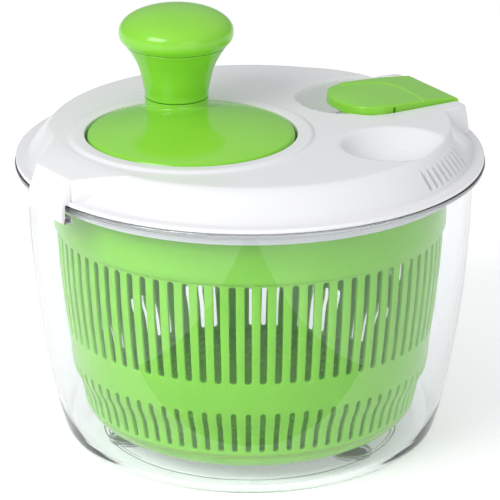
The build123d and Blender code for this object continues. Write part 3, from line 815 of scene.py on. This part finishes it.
def make_latch():
    """The lever: a thick round tongue over the scoop, straight cheeks, and a claw outside the flange."""
    top = [(TONGUE_TIP, 178.4), (TONGUE_TIP + 4, 178.9), (62.0, LATCH_TOP), (74.0, LATCH_TOP)]
    top += rounded([(74.0, LATCH_TOP, 0), (96.0, 178.2, 9.0), (LEVER_END - 1.0, 175.9, 1.6),
                    (LEVER_END, 172.6, 1.0), (LEVER_END, 168.0, 0)], 6)[1:]
    under = [(TONGUE_TIP, 172.8), (60.0, 171.7), (74.0, 171.4)]
    under += rounded([(74.0, 171.4, 0), (98.0, 171.9, 3.0), (106.0, 169.4, 2.0), (110.0, 166.0, 2.0),
                      (LEVER_END - 2.4, 165.6, 0)], 4)[1:]
    top_length = sum(math.dist(a, b) for a, b in zip(top, top[1:]))
    under_length = sum(math.dist(a, b) for a, b in zip(under, under[1:]))
    reaches = [TONGUE_LENGTH * 0.5 * (1 - cos(pi / 2 * k / 22)) for k in range(23)]
    reaches += [TONGUE_LENGTH * 0.5 + (top_length - 1.5 - TONGUE_LENGTH * 0.5) * k / 110 for k in range(1, 111)]
    reaches += [top_length - 1.5 * (1 - sin(pi / 2 * k / 5)) for k in range(1, 6)]
    steps = [LATCH_EDGE * (1 - cos(pi / 2 * k / 6)) for k in range(7)]
    points = []
    for reach in reaches:
        half = latch_half_width(reach)
        inner = max(half - LATCH_EDGE, 0.0)
        sides = [-(half - min(d, half)) for d in steps] + [inner * (-1 + 2 * k / 74) for k in range(1, 74)]
        sides += [half - min(d, half) for d in reversed(steps)]
        (tx, tz), (dx, dz) = along(top, reach)
        (ux, uz), (ex, ez) = along(under, reach * under_length / top_length)
        loop = []
        for y in sides:
            gap = min(half - abs(y), reach - tongue_start(y), top_length - reach)
            sink = LATCH_EDGE * (1 - sqrt(max(0.0, 1 - (1 - min(max(gap, 0.0) / LATCH_EDGE, 1.0)) ** 2)))
            sink += thumb_step(tx, y) if tx < 104 else 0.0
            loop.append((tx + dz * sink, y, tz - dx * sink))
        for y in reversed(sides):
            gap = min(half - abs(y), reach - tongue_start(y), top_length - reach)
            rise = 0.7 * (1 - sqrt(max(0.0, 1 - (1 - min(max(gap, 0.0) / LATCH_EDGE, 1.0)) ** 2)))
            loop.append((ux - ez * rise, y, uz + ex * rise))
        points += loop
    count = len(points) // len(reaches)
    faces = grid_faces(len(reaches), count)
    faces.append(tuple(range(len(points) - count, len(points))))
    lever = make_mesh("lever", points, faces, 38)
    cut(lever, [notch_tool(side) for side in (-1, 1)], 38)
    return join("green_latch", [lever, make_claw()], 38)


def make_claw():
    """The claw under the lever's end, which reaches down outside the flange."""
    outline = [(108.0, 164.6), (108.0, 170.0), (116.0, 173.4), (LEVER_END, 173.4), (121.2, 170.2),
               (124.8, 164.5), (CLAW_OUT - 0.4, 159.0), (CLAW_OUT, 156.0), (CLAW_OUT, 152.0), (125.4, 152.0),
               (125.4, 160.4), (119.5, 164.6)]
    count = len(outline)
    points = [(x, y, z) for y in (-CLAW_HALF, CLAW_HALF) for x, z in outline]
    faces = grid_faces(2, count) + [tuple(range(count)), tuple(range(count, 2 * count))]
    return bevelled(make_mesh("claw", points, faces), 0.6, 3, 30, 38)


def notch_tool(side):
    """A small wedge out of the lever's side, where the tongue meets the hinge."""
    corners = [(73.4, 26.0), (77.6, 26.0), (76.6, 22.0)]
    points = [(x, side * y, z) for z in (168.0, 177.2) for x, y in corners]
    return make_mesh("notch_cutter", points, [(0, 1, 2), (3, 4, 5), (0, 1, 4, 3), (1, 2, 5, 4), (2, 0, 3, 5)])


finish_piece(make_latch(), green_gloss, "latch", "green_gloss", "latch_lever")

# ---------------------------------------------------------------- turning disc and knob
DISC_CROWN = 182.0
DISC_EDGE = 176.0


def dome_z(r):
    """Height of the disc's domed top at a radius from its own axis."""
    return DISC_CROWN - (DISC_CROWN - DISC_EDGE) * (r / DISC_R) ** 2


def make_disc():
    """The domed disc with a rounded rim, its skirt, its post, and the knob's boss growing from it."""
    crown = [(DISC_R * 0.93 * k / 20, dome_z(DISC_R * 0.93 * k / 20)) for k in range(21)]
    rim = rounded([(DISC_R * 0.93, dome_z(DISC_R * 0.93), 0), (DISC_R, DISC_EDGE - 0.1, 2.6),
                   (DISC_R, 168.2, 0.5), (DISC_R - 2.4, 168.2, 0.5), (DISC_R - 2.4, 172.9, 0.8)], 7)
    inside = [(DISC_R * 0.9 * (1 - k / 8), dome_z(DISC_R * 0.9 * (1 - k / 8)) - 2.4) for k in range(8)]
    post = [(8.5, 178.0), (8.5, 166.0), (6.0, 165.9), (6.0, 160.7), (0, 160.7)]
    inside = [p for p in inside if p[0] > 9]
    disc = lathe("disc", crown + rim + inside + post, DISC_X, 0, segments=192, sharp=45)
    return join("green_turning_disc", [disc, make_boss()], 45)


def make_boss():
    """The knob's boss, with a small fillet that follows the dome."""
    segments = 96
    profile = [(2.6, 0.0), (1.7, 0.10), (0.9, 0.28), (0.35, 0.55), (0.0, 1.2)]
    points = []
    rows = 0
    for out, rise in profile:
        rows += 1
        for j in range(segments):
            turn = 2 * pi * j / segments
            r = 17.1 + out
            x, y = KNOB_X + r * cos(turn), KNOB_Y + r * sin(turn)
            reach = math.dist((x, y), (DISC_X, 0))
            limit = DISC_R - 0.25
            if reach > limit:
                x = DISC_X + (x - DISC_X) * limit / reach
                y = y * limit / reach
                reach = limit
            low = dome_z(reach) - 2.2 * blend(DISC_R - 2.6, DISC_R, reach)
            points.append((x, y, min(low - 0.05 + rise, BOSS_TOP - 0.8)))
    crown = [(17.1, BOSS_TOP - 0.7, 0), (17.1, BOSS_TOP, 0.6), (16.4, BOSS_TOP, 0.2), (0, BOSS_TOP, 0)]
    for r, z in rounded(crown, 4):
        rows += 1
        points += [(KNOB_X + r * cos(2 * pi * j / segments), KNOB_Y + r * sin(2 * pi * j / segments), z)
                   for j in range(segments)]
    return make_mesh("boss", points, grid_faces(rows, segments), 45)


finish_piece(make_disc(), green_gloss, "turntable", "green_gloss", "turntable")


def smooth_through(knots, steps=6):
    """A smooth outline through a few knots."""
    outline = []
    padded = [knots[0]] + list(knots) + [knots[-1]]
    for i in range(len(knots) - 1):
        p0, p1, p2, p3 = padded[i:i + 4]
        for k in range(steps):
            t = k / steps
            outline.append(tuple(0.5 * (2 * b + (c - a) * t + (2 * a - 5 * b + 4 * c - d) * t * t
                                        + (3 * b - a - 3 * c + d) * t ** 3)
                                 for a, b, c, d in zip(p0, p1, p2, p3)))
    return outline + [knots[-1]]


def make_stem():
    """The knob's waisted stem, flaring up under the cap."""
    bottom, top = stem_low[2], stem_high[2]
    outside = smooth_through([(17.1, bottom + 0.7), (17.25, bottom + 3.5), (18.2, 192.6), (19.4, 198.0),
                              (21.2, 203.2), (24.1, 208.6), (27.1, top - 0.3)])
    inside = [(r - 2.2, z) for r, z in reversed(outside[::3])]
    outline = rounded([(15.2, bottom, 0), (16.9, bottom, 0.5), (17.1, bottom + 0.6, 0)], 4) + outside[1:]
    outline += [(27.0, top - 0.05), (26.0, top)] + inside[1:-1]
    return lathe("green_knob_stem", outline, KNOB_X, KNOB_Y, segments=128, sharp=50, closed=True)


def make_cap():
    """The mushroom cap: tight underside crease, short upright cheek, low dome."""
    low, top = cap_low[2], cap_high[2]
    under = rounded([(22.5, low + 0.2, 0), (27.3, low + 0.1, 0.8), (CAP_R - 0.7, 216.3, 1.6),
                     (CAP_R, 219.0, 1.6), (CAP_R - 0.1, 221.0, 0)], 6)
    dome = []
    for k in range(1, 25):
        turn = pi / 2 * k / 24
        dome.append(((CAP_R - 0.1) * cos(turn) ** 0.86, 221.0 + (top - 221.0) * sin(turn) ** 1.08))
    inside = [(0, top - 2.4), (15, top - 4.6), (24, 224.5), (27.6, 219.0), (22.5, 216.5)]
    return lathe("green_knob_cap", under + dome + inside, KNOB_X, KNOB_Y, segments=128, sharp=50, closed=True)


finish_piece(make_stem(), green_gloss, "knob", "green_gloss", "knob_stem")
finish_piece(make_cap(), green_gloss, "knob", "green_gloss", "knob_cap")

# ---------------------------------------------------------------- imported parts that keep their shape
slot_of_node = {row["node"]: row["material_slot"] for row in frame["record"]["subparts"]}
for node_name, node_object in frame["nodes"].items():
    for material_slot in node_object.material_slots:
        material_slot.material = FINISH_OF_SLOT[slot_of_node[node_name]]
    if not node_object.material_slots:
        node_object.data.materials.append(FINISH_OF_SLOT[slot_of_node[node_name]])


# ---------------------------------------------------------------- studio
VIEW_AZIMUTH = -31.0
VIEW_ELEVATION = 20.41
VIEW_DISTANCE = 1.759
VIEW_TARGET = (0.0, 0.0, 0.1027)


def lamp(name, place, target, size, power, colour=(1, 1, 1)):
    """A square soft light aimed at a point."""
    light = bpy.data.lights.new(name, "AREA")
    light.shape = "RECTANGLE"
    light.size, light.size_y = size
    light.energy = power
    light.color = colour
    obj = bpy.data.objects.new(name, light)
    obj.location = place
    aim(obj, target)
    bpy.context.scene.collection.objects.link(obj)
    return obj


def aim(obj, target):
    """Turn a lamp or the camera to face a point."""
    away = Vector(target) - obj.location
    obj.rotation_euler = away.to_track_quat("-Z", "Y").to_euler()


def make_floor():
    """A pale table top that runs out of sight and glows a little, like a light table."""
    finish = Finish("pale_floor")
    grain = finish.noise(3.0, 2.0)
    material = finish.done(finish.surface(
        Base_Color=finish.tint(grain, (0.86, 0.86, 0.86), (0.90, 0.90, 0.90)), Roughness=0.6,
        Emission_Color=(1.0, 1.0, 1.0, 1.0), Emission_Strength=0.37))
    floor = make_mesh("floor", [(-9000, -9000, 0), (9000, -9000, 0), (9000, 9000, 0), (-9000, 9000, 0)],
                      [(0, 1, 2, 3)])
    floor.location.z = -0.0004
    floor.data.materials.append(material)


def make_painted_reflection_card():
    """A dark sheet hidden from the camera and from light, seen only mirrored: a painted reflection of shade
    that gives the bowl's front a darker wedge.
    """
    finish = Finish("painted_reflection_card")
    grain = finish.noise(40.0, 2.0)
    material = finish.done(finish.surface(
        Base_Color=finish.tint(grain, (0.03, 0.03, 0.035), (0.05, 0.05, 0.055)), Roughness=0.8))
    turn = radians(VIEW_AZIMUTH)
    corners = [(140, -160), (140, 160), (610, 0)]
    points = [(ahead * sin(turn) + aside * cos(turn), aside * sin(turn) - ahead * cos(turn), 1.0)
              for ahead, aside in corners]
    card = make_mesh("painted_reflection_card", points, [(0, 1, 2)])
    card.data.materials.append(material)
    card.visible_camera = card.visible_diffuse = card.visible_transmission = card.visible_shadow = False


def make_world():
    """Grey near the horizon, white overhead."""
    world = bpy.data.worlds.new("studio")
    world.use_nodes = True
    bpy.context.scene.world = world
    tree = world.node_tree
    place = tree.nodes.new("ShaderNodeTexCoord")
    parts = tree.nodes.new("ShaderNodeSeparateXYZ")
    ramp = tree.nodes.new("ShaderNodeValToRGB")
    ramp.color_ramp.elements[0].position = 0.12
    ramp.color_ramp.elements[0].color = (0.34, 0.35, 0.37, 1)
    ramp.color_ramp.elements[1].position = 0.75
    ramp.color_ramp.elements[1].color = (0.72, 0.725, 0.735, 1)
    tree.links.new(place.outputs["Generated"], parts.inputs[0])
    tree.links.new(parts.outputs["Z"], ramp.inputs["Fac"])
    tree.links.new(ramp.outputs["Color"], tree.nodes["Background"].inputs["Color"])


def around(azimuth, elevation, distance, target=VIEW_TARGET):
    """A point seen from the object at an azimuth and elevation; azimuth 0 is the -Y side."""
    a, e = radians(azimuth), radians(elevation)
    return (target[0] + distance * sin(a) * cos(e), target[1] - distance * cos(a) * cos(e),
            target[2] + distance * sin(e))


def make_camera():
    """Long lens from the front left, looking slightly down."""
    camera = bpy.data.cameras.new("camera")
    camera.sensor_width = 36.0
    camera.lens = 235.35
    camera.clip_end = 50.0
    obj = bpy.data.objects.new("camera", camera)
    obj.location = around(VIEW_AZIMUTH, VIEW_ELEVATION, VIEW_DISTANCE)
    aim(obj, VIEW_TARGET)
    bpy.context.scene.collection.objects.link(obj)
    bpy.context.scene.camera = obj


make_floor()
# painted reflection: a hidden dark sheet that only the bowl's mirrored front shows
make_painted_reflection_card()
make_world()
make_camera()
bpy.context.scene.view_settings.view_transform = "Standard"
lamp("key_softbox", around(-76, 38, 1.4), VIEW_TARGET, (0.7, 0.6), 8.8)
lamp("front_softbox", around(-5, 16, 1.6), VIEW_TARGET, (0.9, 0.9), 3.2)
